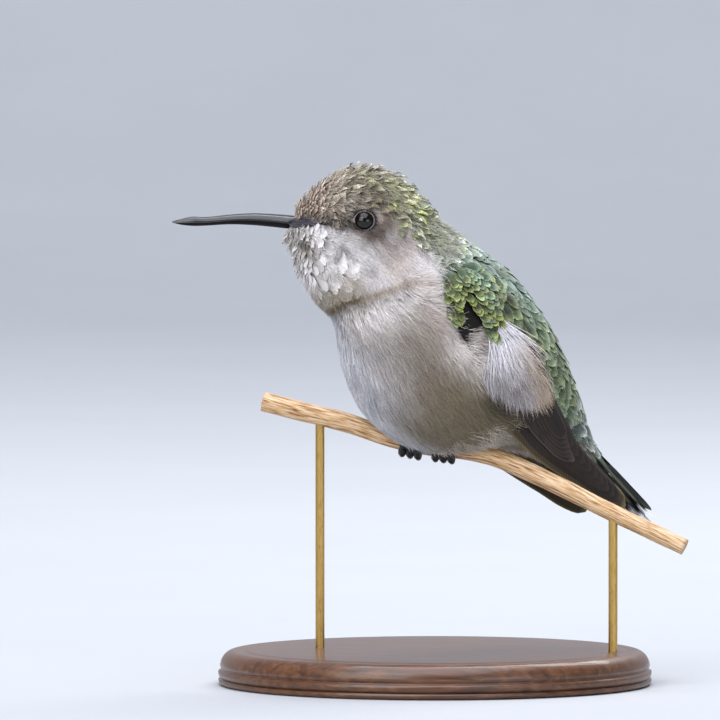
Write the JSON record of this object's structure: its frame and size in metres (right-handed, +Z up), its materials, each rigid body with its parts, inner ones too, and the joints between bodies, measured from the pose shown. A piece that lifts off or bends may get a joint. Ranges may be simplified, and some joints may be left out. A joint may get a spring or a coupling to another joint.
{
  "type": "perched hummingbird",
  "caption": "Life-size still model of a perched hummingbird, wings folded and head in profile, gripping a cut length of vine on a round two-rod display stand.",
  "frame": {"origin": "centre of the stand's flat underside, on the surface it stands on", "axes": "+Z up; the bird's bill points along -X with the head in profile; its breast is turned 22 degrees towards -Y, its left side, and its tail towards +Y"},
  "size_m": [0.0734, 0.062, 0.0738],
  "materials": {
    "throat_plumage": "matt, soft white feathers with faint dusky spots",
    "breast_plumage": "matt, fine grey-buff strands",
    "back_plumage": "satin, olive green feathers with pale fringes",
    "flight_feathers": "satin, dusky brown vanes",
    "tail_centre": "satin, grey-green vanes",
    "bill_horn": "semi-gloss, black horn",
    "eye": "wet gloss, black",
    "foot_skin": "semi-matt, black scaled skin",
    "vine_stem": "matt, pale tan with brown grain",
    "stand_wood": "satin varnish, dark walnut",
    "stand_brass": "satin"
  },
  "bodies": {
    "root": {"head": "throat_plumage", "neck": "back_plumage", "trunk": "breast_plumage", "bill_upper": "bill_horn", "bill_lower": "bill_horn", "eye_left": "eye", "eye_right": "eye", "wing_left_coverts": "back_plumage", "wing_left_primaries": "flight_feathers", "wing_left_secondaries": "flight_feathers", "wing_right_coverts": "back_plumage", "wing_right_primaries": "flight_feathers", "wing_right_secondaries": "flight_feathers", "tail_central": "tail_centre", "tail_left_inner": "flight_feathers", "tail_right_inner": "flight_feathers", "tail_left_outer": "flight_feathers", "tail_right_outer": "flight_feathers", "leg_left": "foot_skin", "leg_right": "foot_skin", "foot_left": "foot_skin", "foot_right": "foot_skin", "perch_stem": "vine_stem", "stand_base": "stand_wood", "stand_rod_left": "stand_brass", "stand_rod_right": "stand_brass"}
  },
  "joints": []
}
